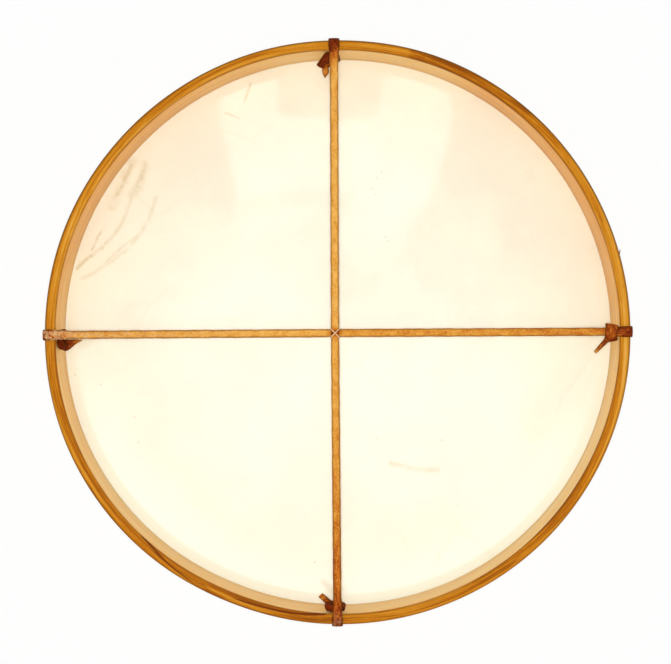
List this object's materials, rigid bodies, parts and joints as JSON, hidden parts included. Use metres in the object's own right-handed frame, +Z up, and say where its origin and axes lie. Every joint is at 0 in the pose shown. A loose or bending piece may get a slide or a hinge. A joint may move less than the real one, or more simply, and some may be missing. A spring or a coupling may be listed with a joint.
{
  "type": "frame drum",
  "caption": "Round hand-held frame drum with a bent wooden hoop, a rawhide head and a leather cross grip over its open back.",
  "frame": {"origin": "centre of the drum on the surface that it lies on, head down, so the playing face is at z = 0", "axes": "+Z up out of the open back; +Y towards the upper end of the upright lace; +X towards the lace end that is tied with a hitch"},
  "size_m": [0.5066, 0.5065, 0.0681],
  "materials": {
    "bent_ash": "oiled, honey brown on the back edge, paler inside",
    "splice_ash": "oiled, a little darker than the hoop",
    "rawhide": "smooth, cream, faintly veined, slightly translucent",
    "lace_leather_upright": "waxed, golden where stretched and dark brown at the ties",
    "lace_leather_across": "waxed, golden where stretched and dark brown at the ties",
    "thread": "waxed cream thread"
  },
  "bodies": {
    "root": {"hoop_strip": "bent_ash", "hoop_splice": "splice_ash", "drum_head": "rawhide", "lace_vertical": "lace_leather_upright", "lace_horizontal": "lace_leather_across", "centre_lashing": "thread"}
  },
  "joints": []
}
